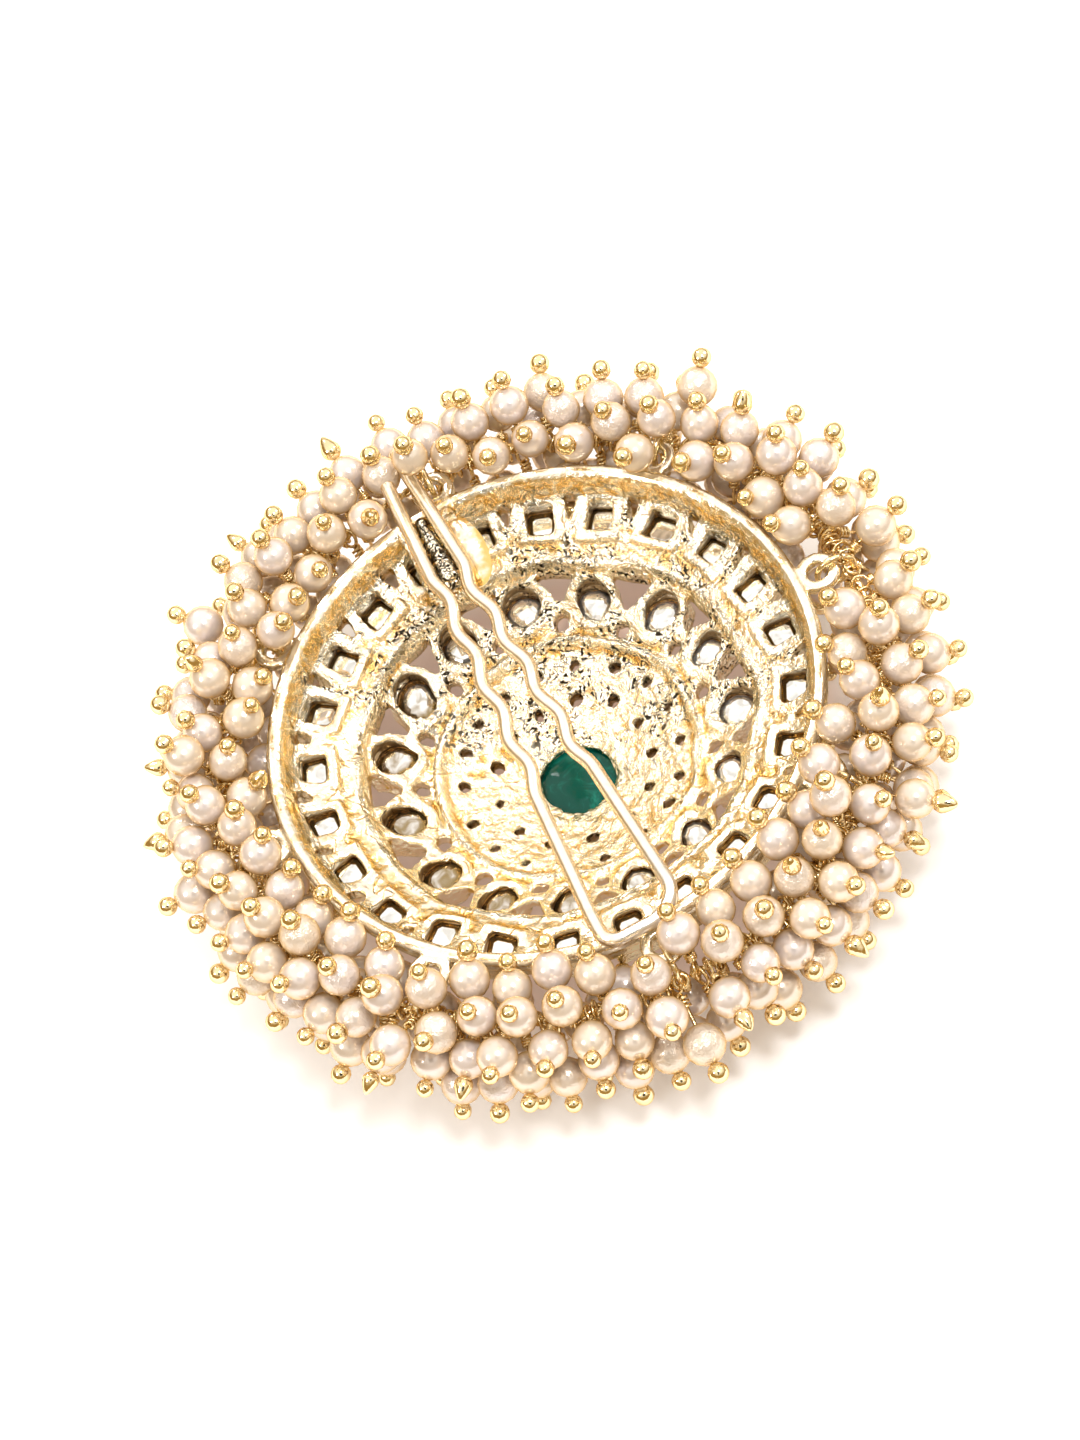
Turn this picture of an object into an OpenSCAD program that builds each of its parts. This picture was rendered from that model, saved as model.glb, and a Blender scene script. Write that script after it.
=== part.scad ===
// Hair bun pin: an openwork cast dome seen from its hollow back, with a fringe
// of drilled pearls on ball-ended head pins and a crimped wire hair pin.
// It lies face down: +Z is the back of the dome, +Y points to the tips of the
// hair pin, and the origin is on the dome's axis at the height it rests on.

/* [Dome] */
// Outer radius of the dome's rim
rim_r = 26.5; // [26.2:0.1:26.8]
// Square settings round the outer band
square_count = 24; // [20:1:24]
// Drop settings round the middle band
drop_count = 15; // [12:1:15]
// Radius of the ring of square settings
square_ring_r = 22.9; // [22.6:0.1:23.2]
// Radius of the ring of drop settings
drop_ring_r = 16.6; // [16.2:0.1:16.8]
// Opening of a square setting
square_open = 2.6; // [2.2:0.1:2.8]
// Diameter of the small drilled holes in the middle of the dome
dot_d = 1.1; // [0.8:0.1:1.3]

/* [Lugs and jump rings] */
// Cast ring lugs round the rim
lug_count = 8; // [6:1:8]
// Outer radius of a ring lug
lug_r = 2; // [1.8:0.05:2]
// Bore radius of a ring lug
lug_bore_r = 1.05; // [0.95:0.05:1.1]
// Thickness of a ring lug
lug_t = 1; // [0.8:0.1:1]
// Radius of a jump ring, to the middle of its wire
jump_r = 1.8; // [1.78:0.01:1.82]
// Wire radius of a jump ring
jump_wire_r = 0.3; // [0.2:0.05:0.3]

/* [Hair pin] */
// Diameter of the hair pin's wire
pin_d = 1.38; // [1:0.02:1.5]
// How far the tips reach along Y
pin_tip_y = 33.4; // [30:0.1:36]
// How far the bend reaches along Y
pin_bend_y = -27.1; // [-29:0.1:-27]
// Pitch of the crimped waves
wave_pitch = 6.8; // [6.4:0.1:6.8]
// Height of the crimped waves
wave_amp = 0.36; // [0:0.02:0.4]

/* [Fringe] */
// Seeds that the pearls grow from, before crowded ones are left out
seed_count = 300; // [120:1:310]
// Diameter of a pearl
pearl_d = 3.9; // [3.6:0.1:4]
// Diameter of a pearl's bore
pearl_bore_d = 0.6; // [0.5:0.05:0.8]
// Diameter of the ball end of a head pin
ball_d = 1.85; // [1.4:0.05:2]
// Wire diameter of a head pin
head_pin_d = 0.4; // [0.3:0.05:0.45]
// Radius of the circle of the carrier wire
carrier_r = 31; // [30.9:0.05:31.1]
// Wire radius of the carrier
carrier_wire_r = 0.45; // [0.3:0.05:0.5]

/* [Hidden] */
$fn = 32;

// height of the rim's back face above the surface that the dome lies on
back_h = 16;

// a depth below the rim's back face, as a height
function level(depth) = back_h - depth;

// The wall of the dome as rows of [radius, depth below the rim's back face].
// Back of the wall, from the stone in the middle out to the rim
WALL_BACK = [
    [3.65, 13.5], [4.4, 13.0], [12.1, 9.9], [12.4, 9.0], [12.75, 8.75], [13.2, 9.2],
    [18.7, 6.1], [18.95, 5.1], [19.35, 4.85], [19.8, 4.95], [rim_r - 1.8, 2.5],
    [rim_r - 1.35, 0.45], [rim_r - 1, 0], [rim_r - 0.35, 0], [rim_r, 0.4]
];
// Front of the wall, from the rim in to the raised seat of the middle stone
WALL_FRONT = [
    [rim_r, 1.3], [rim_r - 0.4, 1.8], [rim_r - 0.6, 3.4], [20.1, 6.4], [19.9, 6.9], [19.1, 7.4],
    [13.6, 10.5], [13.3, 11.0], [12.5, 11.4], [5.0, 14.5], [4.9, 15.5], [4.15, 15.5],
    [4.15, 14.15], [3.65, 14.15]
];

// settings: the angle of the first, and the depth of the ledge under each stone
square_a0 = 10.2;
square_ledge = 4.35;
square_stone_w = 3.2;
square_collet_w = 4.3;
square_collet_back = 3.6;
square_collet_front = 6.2;
drop_a0 = 9.3;
drop_ledge = 8.7;
middle_stone_r = 3.95;

// small drilled holes: columns are ring radius, count, first angle
DOT_RINGS = [[10.8, 18, 4], [7.7, 13, 11]];

// hair pin: its axis runs from the middle of the bend to the tips
pin_x0 = -1.55;
pin_turn = 1.9;
pin_z = level(-0.8);
wave_count = 4;
wave_y0 = -9;
wave_y1 = wave_y0 + wave_count * wave_pitch;
// half the distance between the prongs: at the bend, at the first wave, at the
// last wave and at the tips
HALF_GAP = [3.75, 2.95, 1.68, 0.95];

// lugs and the rings that join them to the carrier wire
lug_at_r = rim_r + 1.6;
lug_z = level(0.8);
carrier_z = level(2.8);
jump_at_r = lug_at_r + 1.63;
jump_z = level(1.56);

// eyes at the ends of the carrier wires, side by side on a jump ring: radius,
// wire radius, the jump ring's angle between them and how far each is from it
eye_r = 0.62;
eye_wire_r = 0.17;
eye_at = -45;
eye_step = 11.5;
// from the jump ring to the thick part of a carrier wire, and to its first pin
carrier_start = 1.05;
pin_start = 1.5;

// fringe
golden = 0.6180339887;
silver = 0.7548776662;
bronze = 0.5698402910;
air = 0.1;
v_low = -140;
v_high = 128;
v_lean = 14;
rho_low = 3.4;
rho_high = 4.9;
sag = 3.9;
settle_steps = 60;
ball_off = pearl_d / 2 + ball_d / 2 + air;
// of the pearls that hang under this angle, only every third is a solid
v_under = -55;

// Helpers

function frac(x) = x - floor(x);
function mix(a, b, t) = a + (b - a) * t;
function sum(v, i = 0) = i < len(v) ? v[i] + sum(v, i + 1) : v[0] * 0;
function unit(v) = v / norm(v);

// a closed solid through rings of points that all have the same count
module loft(rings) {
    n = len(rings[0]);
    m = len(rings);
    points = [for (ring = rings) each ring];
    sides = [
        for (j = [0:m - 2], i = [0:n - 1])
            let (k = (i + 1) % n)
            [j * n + i, j * n + k, (j + 1) * n + k, (j + 1) * n + i]
    ];
    polyhedron(
        points,
        concat([[for (i = [n - 1:-1:0]) i]], sides, [[for (i = [0:n - 1]) (m - 1) * n + i]])
    );
}

// a cut stone: rows of steps are [scale of the outline, depth], back first
module cut_stone(outline, steps) {
    loft([
        for (s = [len(steps) - 1:-1:0])
            [for (p = outline) [p.x * steps[s].x, p.y * steps[s].x, level(steps[s].y)]]
    ]);
}

module at_ring(r, a) {
    rotate([0, 0, a]) translate([r, 0, 0]) children();
}

// Settings

// outline of a drop, egg shaped, its narrow end towards the middle of the dome
module drop_outline(grow) {
    circle(r = 1.75 + grow);
    translate([-0.75, 0]) circle(r = 1.3 + grow);
}

function square_stone_outline() =
    let (h = square_stone_w / 2, c = h - 0.5)
    [[h, -c], [h, c], [c, h], [-c, h], [-h, c], [-h, -c], [-c, -h], [c, -h]];

function drop_stone_outline() = [
    for (a = [0:30:330])
        let (r = max(2.03, sqrt(2.5 - 0.5625 * pow(sin(a), 2)) - 0.75 * cos(a)))
        [r * cos(a), r * sin(a)]
];

function round_stone_outline(r) = [for (a = [0:22.5:337.5]) [r * cos(a), r * sin(a)]];

// Casting

module dome_wall() {
    rotate_extrude($fn = 96)
        polygon([for (p = concat(WALL_BACK, WALL_FRONT)) [p.x, level(p.y)]]);
}

module square_collets() {
    for (i = [0:square_count - 1])
        at_ring(square_ring_r, square_a0 + i * 360 / square_count)
            translate([-square_collet_w / 2, -square_collet_w / 2, level(square_collet_front)])
                cube([square_collet_w, square_collet_w, square_collet_front - square_collet_back]);
}

module drop_collets() {
    for (i = [0:drop_count - 1])
        at_ring(drop_ring_r, drop_a0 + i * 360 / drop_count)
            translate([0, 0, level(10.4)])
                linear_extrude(2.2) drop_outline(1);
}

module square_cuts() {
    for (i = [0:square_count - 1])
        at_ring(square_ring_r, square_a0 + i * 360 / square_count) {
            translate([-square_open / 2, -square_open / 2, level(6.5)])
                cube([square_open, square_open, 6]);
            translate([-1.7, -1.7, level(6.5)]) cube([3.4, 3.4, 6.5 - square_ledge]);
        }
}

module drop_cuts() {
    for (i = [0:drop_count - 1])
        at_ring(drop_ring_r, drop_a0 + i * 360 / drop_count) {
            translate([0, 0, level(11)]) linear_extrude(6) drop_outline(0);
            translate([0, 0, level(11)])
                linear_extrude(11 - drop_ledge) drop_outline(0.45);
        }
}

// small openings between the settings: the rows are [count, first angle, points]
module between_cuts() {
    for (cut = [
        [square_count, square_a0 + 180 / square_count,
            [[23.0, -0.2], [24.75, -0.8], [24.75, 0.8], [23.0, 0.2]]],
        [drop_count, drop_a0 + 180 / drop_count,
            [[15.9, -0.3], [18.5, -2.1], [18.6, 2.1], [15.9, 0.3]]],
        [drop_count, drop_a0 + 180 / drop_count,
            [[13.6, -0.55], [14.6, -0.8], [15.1, 0], [14.6, 0.8], [13.6, 0.55]]]
    ])
        for (i = [0:cut[0] - 1])
            rotate([0, 0, cut[1] + i * 360 / cut[0]])
                translate([0, 0, level(14)]) linear_extrude(13.5) polygon(cut[2]);
}

module dot_cuts() {
    for (ring = DOT_RINGS, i = [0:ring[1] - 1])
        at_ring(ring[0], ring[2] + i * 360 / ring[1])
            translate([0, 0, level(15.5)]) cylinder(d = dot_d, h = 8, $fn = 24);
}

module lugs() {
    for (i = [0:lug_count - 1])
        at_ring(lug_at_r, i * 360 / lug_count)
            translate([0, 0, lug_z - lug_t / 2]) difference() {
                cylinder(r = lug_r, h = lug_t);
                translate([0, 0, -1]) cylinder(r = lug_bore_r, h = lug_t + 2);
            }
}

// folded tab that grips the hair pin: a foot under the prongs, a rib between
// them and a leaf beside the right one, bridged to the wall between two stones
module tab() {
    pin_frame() {
        translate([-2.4, 17, level(1.0)]) cube([5.5, 8.6, 0.9]);
        translate([0, 0, level(0.5)]) linear_extrude(1.2)
            polygon([[-0.75, 17.4], [0.75, 17.4], [0.5, 22], [0.3, 25.2], [-0.3, 25.2], [-0.5, 22]]);
        translate([2.6, 21.2, level(0.5)]) rotate([90, 0, 90]) linear_extrude(0.6) leaf();
        translate([0.2, 20.4, level(5)]) cube([2, 2, 4.5]);
    }
}

module leaf() {
    intersection() {
        translate([0, -4.7]) circle(r = 6.2, $fn = 64);
        translate([-3.8, -0.3]) square([7.6, 2]);
    }
}

module casting() {
    color("gold") {
        difference() {
            union() {
                dome_wall();
                square_collets();
                drop_collets();
            }
            square_cuts();
            drop_cuts();
            between_cuts();
            dot_cuts();
        }
        lugs();
        tab();
    }
}

// Stones

module square_stone(i) {
    color("aliceblue")
    at_ring(square_ring_r, square_a0 + (i - 1) * 360 / square_count)
        cut_stone(square_stone_outline(), [[0.86, 4.45], [1, 4.75], [1, 5.35], [0.62, 6.35]]);
}

module drop_stone(i) {
    color("aliceblue")
    at_ring(drop_ring_r, drop_a0 + (i - 1) * 360 / drop_count)
        cut_stone(drop_stone_outline(), [[0.86, 8.8], [1, 9.1], [1, 9.7], [0.6, 10.8]]);
}

module middle_stone() {
    color("darkgreen")
    cut_stone(
        round_stone_outline(middle_stone_r),
        [[0.5, 13.75], [0.88, 14.05], [0.89, 14.25], [1, 14.27], [1, 14.9], [0.85, 15.55], [0.55, 16]]
    );
}

// Hair pin

module pin_frame() {
    rotate([0, 0, pin_turn]) translate([pin_x0, 0, 0]) children();
}

// half the gap between the prongs at a place along the pin
function half_gap(y) =
    y < wave_y0 ? mix(HALF_GAP[1], HALF_GAP[0], min(1, (wave_y0 - y) / 14))
    : y > wave_y1 ? mix(HALF_GAP[2], HALF_GAP[3], (y - wave_y1) / (pin_tip_y - wave_y1))
    : mix(HALF_GAP[1], HALF_GAP[2], (y - wave_y0) / (wave_y1 - wave_y0))
        - wave_amp * (1 - cos(360 * (y - wave_y0) / wave_pitch));

// the corners of the bend: the left one is tighter than the right one
corner_l = 1.7;
corner_r = 3.1;
bend_y = pin_bend_y + pin_d / 2;

function pin_path() =
    let (
        y_end = pin_tip_y - pin_d / 2,
        step = 0.85,
        prong = [for (y = [y_end:-step:wave_y0 - 14]) y]
    )
    concat(
        [for (y = prong) [-half_gap(y), y]],
        [for (a = [180:22.5:270])
            [-HALF_GAP[0] + corner_l * (1 + cos(a)), bend_y + corner_l * (1 + sin(a))]],
        [for (a = [270:15:360])
            [HALF_GAP[0] - corner_r * (1 - cos(a)), bend_y + corner_r * (1 + sin(a))]],
        [for (i = [len(prong) - 1:-1:0]) [half_gap(prong[i]), prong[i]]]
    );

// rings of a round wire along a flat path, with rounded ends
function wire_rings(path, r, sides) =
    let (
        n = len(path),
        way = [for (i = [0:n - 1]) unit(path[min(i + 1, n - 1)] - path[max(i - 1, 0)])],
        ring = function(c, t, rr)
            [for (k = [0:sides - 1])
                let (a = 360 * (k + 0.5) / sides)
                [c.x + t.y * rr * cos(a), c.y - t.x * rr * cos(a), rr * sin(a)]]
    )
    concat(
        [for (e = [15, 40, 65]) ring(path[0] - way[0] * r * cos(e), way[0], r * sin(e))],
        [for (i = [0:n - 1]) ring(path[i], way[i], r)],
        [for (e = [65, 40, 15]) ring(path[n - 1] + way[n - 1] * r * cos(e), way[n - 1], r * sin(e))]
    );

module hair_pin() {
    color("khaki")
    pin_frame() translate([0, 0, pin_z]) loft(wire_rings(pin_path(), pin_d / 2, 10));
}

// Fringe

// a place round the carrier wire: angle round the dome, angle round the wire
// (0 outwards, 90 up) and distance from the wire
function spot(u, v, rho) =
    let (r = carrier_r + rho * cos(v))
    [r * cos(u), r * sin(u), carrier_z + rho * sin(v)];

function around(p) = atan2(p.y, p.x);
function out_of_wire(p) = [norm([p.x, p.y]) - carrier_r, p.z - carrier_z];
function tilt_of(p) = let (q = out_of_wire(p)) atan2(q.y, q.x);
function rho_of(p) = norm(out_of_wire(p));

// pearls straight below the wire hang lower than the others
function hang(v) = sag * pow(max(0, -sin(v)), 4);

function seed_rho(k) = mix(rho_low, rho_high, frac(k * bronze));

// on the side of the bend the fringe leans over the rim
function seed(k) =
    let (
        u = 360 * (k + 0.9 * frac(k * silver)) / seed_count,
        v_top = v_high + v_lean * (0.5 - 0.5 * sin(u))
    )
    spot(u, mix(v_low, v_top, frac(k * golden + 0.06 * frac(k * bronze))), seed_rho(k));

// what the pearls keep clear of: boxes in the frame of the nearest lug, round
// the lug, its jump ring and the eyes on that, and boxes in the frame of the pin
LUG_BOXES = [
    [[rim_r - 0.1, -lug_r, level(1.3)], [lug_at_r + lug_r, lug_r, level(0.3)]],
    [[jump_at_r - jump_r, -jump_wire_r, jump_z - jump_r],
        [jump_at_r + jump_r, jump_wire_r, jump_z + jump_r]],
    [[carrier_r - 0.95, -0.9, carrier_z - 1.1], [carrier_r + 1.05, 0.9, carrier_z + 0.9]]
];
PIN_BOXES = [
    [[-4.5, pin_bend_y, pin_z - 0.7], [4.5, -18, pin_z + 0.7]],
    [[-2.2, 18, pin_z - 0.7], [2.2, pin_tip_y, pin_z + 0.7]]
];

// the outside of the dome as boxes in the half plane of radius and height: the
// collets' corners and the wall under the rim
WALL_BOXES = [
    [[0, level(square_collet_front)],
        [norm([square_ring_r + square_collet_w / 2, square_collet_w / 2]), back_h]],
    [[0, level(3.4)], [rim_r - 0.4, back_h]]
];

function turn(p, a) = [p.x * cos(a) - p.y * sin(a), p.x * sin(a) + p.y * cos(a), p.z];

// moves a point out of a box until it is at least gap away
function out_of_box(p, box, gap) =
    let (
        q = [for (k = [0:2]) min(max(p[k], box[0][k]), box[1][k])],
        d = norm(p - q)
    )
    d > gap || d < 0.001 ? p : q + (p - q) * gap / d;

function clear_lug(p, gap) =
    let (
        a = round(around(p) * lug_count / 360) * 360 / lug_count,
        q = out_of_box(turn(p, -a), LUG_BOXES[0], gap),
        s = out_of_box(q, LUG_BOXES[1], gap)
    )
    turn(out_of_box(s, LUG_BOXES[2], gap), a);

function clear_pin(p, gap) =
    let (
        q = turn(p, -pin_turn) - [pin_x0, 0, 0],
        s = out_of_box(out_of_box(q, PIN_BOXES[0], gap), PIN_BOXES[1], gap)
    )
    turn(s + [pin_x0, 0, 0], pin_turn);

// the rim is a round bead here
function clear_rim(p, gap) =
    let (
        a = around(p),
        q = [(rim_r - 0.6) * cos(a), (rim_r - 0.6) * sin(a), level(0.7)],
        d = norm(p - q)
    )
    d > gap + 0.8 ? p : q + (p - q) * (gap + 0.8) / d;

function off_wall(p) =
    let (q = [norm([p.x, p.y]), p.z])
    min([
        for (box = WALL_BOXES)
            norm([for (k = [0:1]) q[k] - min(max(q[k], box[0][k]), box[1][k])])
    ]);

// keeps a pearl at its own distance from the wire
function keep_rho(p, k) =
    let (v = tilt_of(p), rho = rho_of(p), aim = seed_rho(k) + hang(v))
    spot(around(p), v, rho + 0.3 * (aim - rho));

function pushed(places, i, reach) =
    let (
        p = places[i],
        n = len(places),
        pushes = [
            for (k = [-reach:reach])
                if (k != 0)
                    let (q = p - places[(i + k + n) % n], d = norm(q), over = pearl_d + 2 * air - d)
                    if (over > 0) q / d * over * 0.5
        ]
    )
    len(pushes) > 0 ? p + sum(pushes) : p;

function settle_once(places) =
    [
        for (i = [0:len(places) - 1])
            let (gap = pearl_d / 2 + air)
            clear_pin(clear_lug(clear_rim(keep_rho(pushed(places, i, 9), i), gap), gap), gap)
    ];

function settle(places, times) = times > 0 ? settle(settle_once(places), times - 1) : places;

function foot_of(p) = let (a = around(p)) [carrier_r * cos(a), carrier_r * sin(a), carrier_z];
function ball_of(p) = p + unit(p - foot_of(p)) * ball_off;

// distance of a point from the straight wire of the head pin of a pearl
function off_pin(point, p) =
    let (
        foot = foot_of(p),
        way = unit(p - foot),
        t = min(max((point - foot) * way, 0), norm(p - foot) + pearl_d / 2)
    )
    norm(point - foot - way * t);

function is_clear(p, gap) =
    norm(clear_rim(p, gap) - p) + norm(clear_lug(p, gap) - p) + norm(clear_pin(p, gap) - p) < 0.001;

// true where a pearl, its ball and its wire are clear of all the others
function fits(places, i) =
    let (
        n = len(places),
        p = places[i],
        ball = ball_of(p),
        near = [
            for (k = [-12:12])
                if (k != 0)
                    let (q = places[(i + k + n) % n])
                    if ((k < 0 && norm(p - q) < pearl_d + air)
                        || norm(ball - q) < pearl_d / 2 + ball_d / 2 + air
                        || off_pin(q, p) < pearl_d / 2 + head_pin_d / 2 + air) 1
        ],
        wire = [
            for (t = [0.3:0.1:0.9])
                if (!is_clear(mix(foot_of(p), p, t), head_pin_d / 2 + air)) 1
        ]
    )
    len(near) == 0 && len(wire) == 0
    && is_clear(p, pearl_d / 2 + air / 2) && is_clear(ball, ball_d / 2 + air)
    && off_wall(p) > pearl_d / 2 + air && off_wall(ball) > ball_d / 2 + air;

// the length of carrier wire that a pearl hangs on, from 0, and true where the
// pearl's foot is on the wire and not at the jump ring
function string_of(p) = floor((around(p) + 360) % 360 * lug_count / 360);
function on_string(p) =
    let (a = around(p) * lug_count / 360, off = (a - round(a)) * 360 / lug_count)
    carrier_r * sin(abs(off)) > pin_start;

function pearl_places() =
    let (places = settle([for (k = [0:seed_count - 1]) seed(k)], settle_steps))
    [
        for (i = [0:seed_count - 1])
            if ((tilt_of(places[i]) > v_under || i % 3 == 0) && on_string(places[i])
                && fits(places, i)) places[i]
    ];

module along_pin(p) {
    translate(foot_of(p)) rotate([0, 90 - tilt_of(p), around(p)]) children();
}

module pearls() {
    color("blanchedalmond")
    for (p = pearl_places())
        along_pin(p) translate([0, 0, rho_of(p)]) difference() {
            sphere(d = pearl_d, $fn = 24);
            cylinder(d = pearl_bore_d, h = pearl_d + 1, center = true, $fn = 16);
        }
}

// the eye at the end of a carrier wire, round the wire of the jump ring, and its
// neck. way is 1 where the carrier wire goes on to higher angles, else -1
module carrier_end(way) {
    e = eye_at + eye_step * way;
    translate([jump_at_r + jump_r * cos(e), 0, jump_z + jump_r * sin(e)]) {
        rotate([0, -e, 0])
            rotate_extrude($fn = 48) translate([eye_r, 0]) circle(r = eye_wire_r, $fn = 16);
        translate([0, way * eye_r, 0]) rotate([-90 * way, 0, 0])
            cylinder(r = eye_wire_r, h = 0.6, $fn = 16);
    }
}

module carrier(i) {
    pitch = 360 / lug_count;
    margin = asin(carrier_start / carrier_r);
    rotate([0, 0, (i - 1) * pitch]) {
        rotate([0, 0, margin]) rotate_extrude(angle = pitch - 2 * margin, $fn = 96)
            translate([carrier_r, carrier_z]) circle(r = carrier_wire_r, $fn = 16);
        carrier_end(1);
        rotate([0, 0, pitch]) carrier_end(-1);
    }
}

module head_pins(i) {
    color("goldenrod") {
        carrier(i);
        for (p = pearl_places())
            if (string_of(p) == i - 1)
                along_pin(p) {
                    cylinder(d = head_pin_d, h = rho_of(p) + ball_off, $fn = 16);
                    translate([0, 0, rho_of(p) + ball_off]) sphere(d = ball_d, $fn = 20);
                }
    }
}

module jump_rings() {
    color("goldenrod")
    for (i = [0:lug_count - 1])
        at_ring(jump_at_r, i * 360 / lug_count)
            translate([0, 0, jump_z]) rotate([90, 0, 0])
                rotate_extrude($fn = 48) translate([jump_r, 0]) circle(r = jump_wire_r, $fn = 16);
}

casting();
hair_pin();
jump_rings();
pearls();
middle_stone();
for (i = [1:lug_count])
    head_pins(i);
for (i = [1:square_count])
    square_stone(i);
for (i = [1:drop_count])
    drop_stone(i);
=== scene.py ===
import contextlib
import itertools

import bmesh
import bpy
import numpy as np
from bpy.props import FloatProperty, FloatVectorProperty, IntProperty, PointerProperty
from mathutils import Matrix, Vector


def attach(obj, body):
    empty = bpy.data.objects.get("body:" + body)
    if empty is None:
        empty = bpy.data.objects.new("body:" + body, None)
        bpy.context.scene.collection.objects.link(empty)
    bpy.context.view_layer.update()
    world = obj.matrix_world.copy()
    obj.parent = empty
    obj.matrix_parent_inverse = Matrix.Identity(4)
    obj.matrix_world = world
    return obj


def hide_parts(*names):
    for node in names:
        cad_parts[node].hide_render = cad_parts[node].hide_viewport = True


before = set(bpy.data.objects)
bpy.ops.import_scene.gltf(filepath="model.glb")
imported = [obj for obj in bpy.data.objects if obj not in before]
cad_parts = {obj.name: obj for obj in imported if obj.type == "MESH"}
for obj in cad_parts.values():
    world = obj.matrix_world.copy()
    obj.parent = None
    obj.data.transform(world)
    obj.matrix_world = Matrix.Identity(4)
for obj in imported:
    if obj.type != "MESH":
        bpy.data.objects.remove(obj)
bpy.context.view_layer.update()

bl_info = {
    "name": "Hair bun pin",
    "version": (1, 0, 0),
    "blender": (4, 5, 0),
    "location": "3D View > Sidebar > Bun pin",
    "description": "Makes the cast dome, its fringe of pearls, the wires and the crimped hair pin",
    "category": "Object",
}

MM = 0.001
# height of the rim's back, radii where the rim begins and where the inner disc ends, merging distance
BACK_H, RIM_R, DISC_R, DOUBLES = 16.0, 24.6, 12.0, 1e-6
# the multiples of each, less their whole parts, fall evenly between 0 and 1
GOLDEN, SILVER, BRONZE = 0.6180339887, 0.7548776662, 0.5698402910
# elevation of the camera in degrees
CAMERA_UP = 56


# Sizes and colours

def colour(name, default):
    return FloatVectorProperty(
        name=name, description=name + " of the finish", subtype="COLOR", default=default, min=0, max=1
    )


def length(name, default, low, high):
    return FloatProperty(
        name=name, description=name + " in millimetres", default=default, min=low, max=high
    )


class CastSizes(bpy.types.PropertyGroup):
    grain: length("Grain of the casting", 0.205, 0.203, 0.6)
    lumps: length("Depth of the lumps", 0.13, 0, 0.3)
    gold: colour("Cast gold", (1.0, 0.94, 0.78))
    # amber, painted as shade in the recesses and creases, and used for random patches
    recess: colour("Gold in the recesses", (0.86, 0.57, 0.2))
    green: colour("Green stone", (0.0, 0.055, 0.038))


class FringeSizes(bpy.types.PropertyGroup):
    pearl: length("Diameter of a pearl", 3.9, 3.6, 4)
    ball: length("Diameter of a ball end", 1.85, 1.4, 2)
    wire: length("Diameter of a head pin", 0.4, 0.3, 0.45)
    carrier: length("Radius of the carrier wire's circle", 31, 30.6, 31.2)
    seeds: IntProperty(
        name="Seeds", description="Places that pearls grow from", default=300, min=120, max=310
    )
    cream: colour("Pearl", (0.74, 0.63, 0.5))
    wires: colour("Gold wire", (1.0, 0.78, 0.42))
    balls: colour("Ball ends", (0.97, 0.8, 0.47))


class PinSizes(bpy.types.PropertyGroup):
    wire: length("Diameter of the hair pin's wire", 1.38, 1, 1.5)
    plate: colour("Hair pin", (1.0, 0.92, 0.77))


# Shapes

def round_steps(count):
    """The angles of so many equal steps round a circle."""
    return np.arange(count) * 2 * np.pi / count


def rise(values, low, high):
    """0 for values up to low, 1 for values past high, straight between. High may be the smaller one."""
    return np.clip((values - low) / (high - low), 0, 1)


def frac(x):
    """The part after the decimal point."""
    return x - np.floor(x)


def unit(ways):
    """The directions at length 1."""
    return ways / np.linalg.norm(ways, axis=-1, keepdims=True)


def polar(points):
    """The distance of each point from the dome's axis, and its angle round it in degrees."""
    return np.hypot(points[:, 0], points[:, 1]), np.degrees(np.arctan2(points[:, 1], points[:, 0]))


def around(r, a, z):
    """Points at a distance from the dome's axis, at an angle round it in radians and at a height."""
    return np.stack(np.broadcast_arrays(r * np.cos(a), r * np.sin(a), z), -1)


def cloud(points, size, seed):
    """Smooth random values from -1 to 1. A lattice of random numbers has cells of the given size, and
    a point takes the eight corners of its cell, each weighted by smoothsteps of its place in the cell."""
    lattice = np.random.default_rng(seed).uniform(-1, 1, (32, 32, 32))
    scaled = points / size
    cell = np.floor(scaled).astype(int)
    part = scaled - cell
    part = part * part * (3 - 2 * part)
    total = np.zeros(len(points))
    for corner in itertools.product((0, 1), repeat=3):
        weight = np.prod(np.where(corner, part, 1 - part), axis=1)
        i, j, k = ((cell + corner) % 32).T
        total += weight * lattice[i, j, k]
    return total


def turned(points, degrees):
    """The points turned about the dome's axis."""
    a = np.radians(degrees)
    c, s = np.cos(a), np.sin(a)
    return points @ np.array([[c, s, 0], [-s, c, 0], [0, 0, 1]])


def grid_faces(copies, rows, columns, closed_rows=False):
    """Quads between neighbours on copies of a grid whose columns close on themselves."""
    steps = rows if closed_rows else rows - 1
    k, j, i = np.meshgrid(np.arange(copies), np.arange(steps), np.arange(columns), indexing="ij")
    k, j, i = k.ravel() * rows * columns, j.ravel(), i.ravel()
    j2, i2 = (j + 1) % rows, (i + 1) % columns
    here, there = k + j * columns, k + j2 * columns
    return np.stack([here + i, here + i2, there + i2, there + i], 1)


def sweep(paths, radii, sides, closed=False):
    """Round wires along paths. paths has the axes (wire, step, xyz) and radii broadcasts to (wire, step).
    Each ring stands square to the path, on two directions that are carried along it: a fixed vector
    is made square to the tangent, and the second is their cross product."""
    if closed:
        way = np.roll(paths, -1, 1) - np.roll(paths, 1, 1)
    else:
        way = np.gradient(paths, axis=1)
    way = unit(way)
    first = carried_square(paths, way)
    second = np.cross(way, first)
    a = round_steps(sides)[:, None]
    r = np.broadcast_to(radii, paths.shape[:2])[..., None, None]
    ring = first[:, :, None] * np.cos(a) + second[:, :, None] * np.sin(a)
    points = paths[:, :, None] + r * ring
    wires, steps = paths.shape[:2]
    return points.reshape(-1, 3), grid_faces(wires, steps, sides, closed)


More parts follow.
